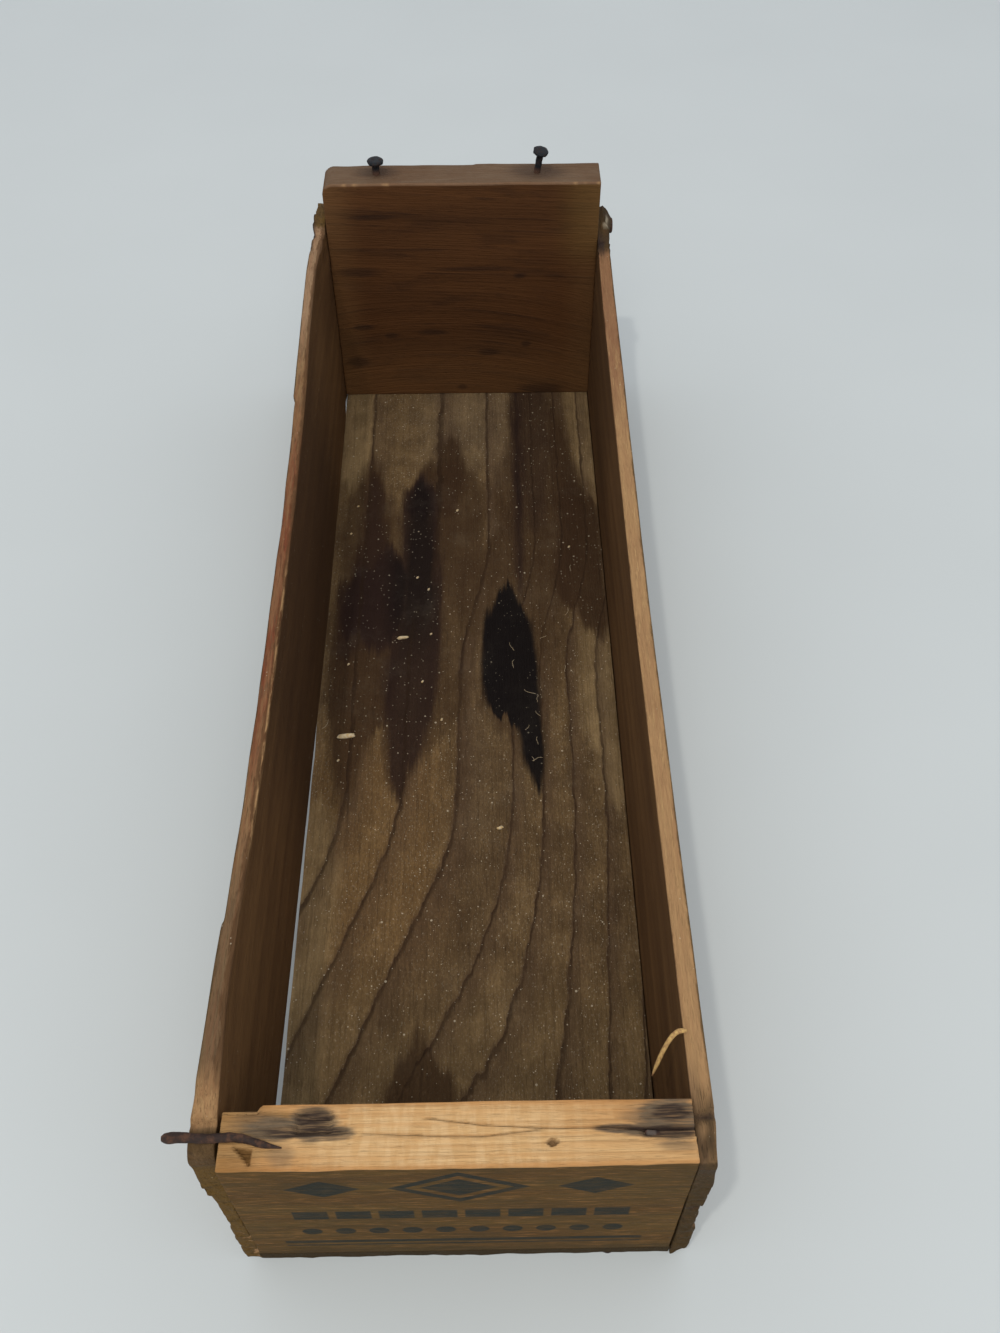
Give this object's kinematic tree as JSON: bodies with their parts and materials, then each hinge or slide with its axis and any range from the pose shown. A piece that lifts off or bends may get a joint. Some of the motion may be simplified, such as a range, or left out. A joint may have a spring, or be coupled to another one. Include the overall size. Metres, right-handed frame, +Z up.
{
  "type": "wooden cheese crate",
  "caption": "Long narrow open wooden crate with thick end boards, thin nailed sides and bottom, a taller rear board, and old nails left standing where its top was broken away.",
  "frame": {"origin": "middle of the underside, on the surface that the crate stands on", "axes": "+Z up, +Y along the crate from the broken-down front end to the tall rear end, +X to the right seen from the front"},
  "size_m": [0.1004, 0.2941, 0.09],
  "materials": {
    "bottom_wood": "grey-brown bare board with dark stains and dust",
    "front_wood": "olive-brown aged face, pale tan where it broke",
    "rear_wood": "dark reddish-brown aged board",
    "side_wood": "thin tan-brown board with a lighter worn top",
    "rusty_nail": "dark rust",
    "black_nail": "blackened, slightly shiny"
  },
  "bodies": {
    "root": {"bottom_board": "bottom_wood", "front_end_board": "front_wood", "rear_end_board": "rear_wood", "left_side_board": "side_wood", "right_side_board": "side_wood", "front_left_bent_nail": "rusty_nail", "front_left_middle_nail": "rusty_nail", "front_left_lower_nail": "rusty_nail", "front_right_broken_nail": "rusty_nail", "front_right_middle_nail": "rusty_nail", "front_right_lower_nail": "rusty_nail", "rear_left_upper_nail": "rusty_nail", "rear_left_middle_nail": "rusty_nail", "rear_left_lower_nail": "rusty_nail", "rear_right_upper_nail": "rusty_nail", "rear_right_middle_nail": "rusty_nail", "rear_right_lower_nail": "rusty_nail", "front_bottom_left_nail": "rusty_nail", "front_bottom_middle_nail": "rusty_nail", "front_bottom_right_nail": "rusty_nail", "rear_bottom_left_nail": "rusty_nail", "rear_bottom_middle_nail": "rusty_nail", "rear_bottom_right_nail": "rusty_nail", "left_lid_nail": "black_nail", "right_lid_nail": "black_nail"}
  },
  "joints": []
}
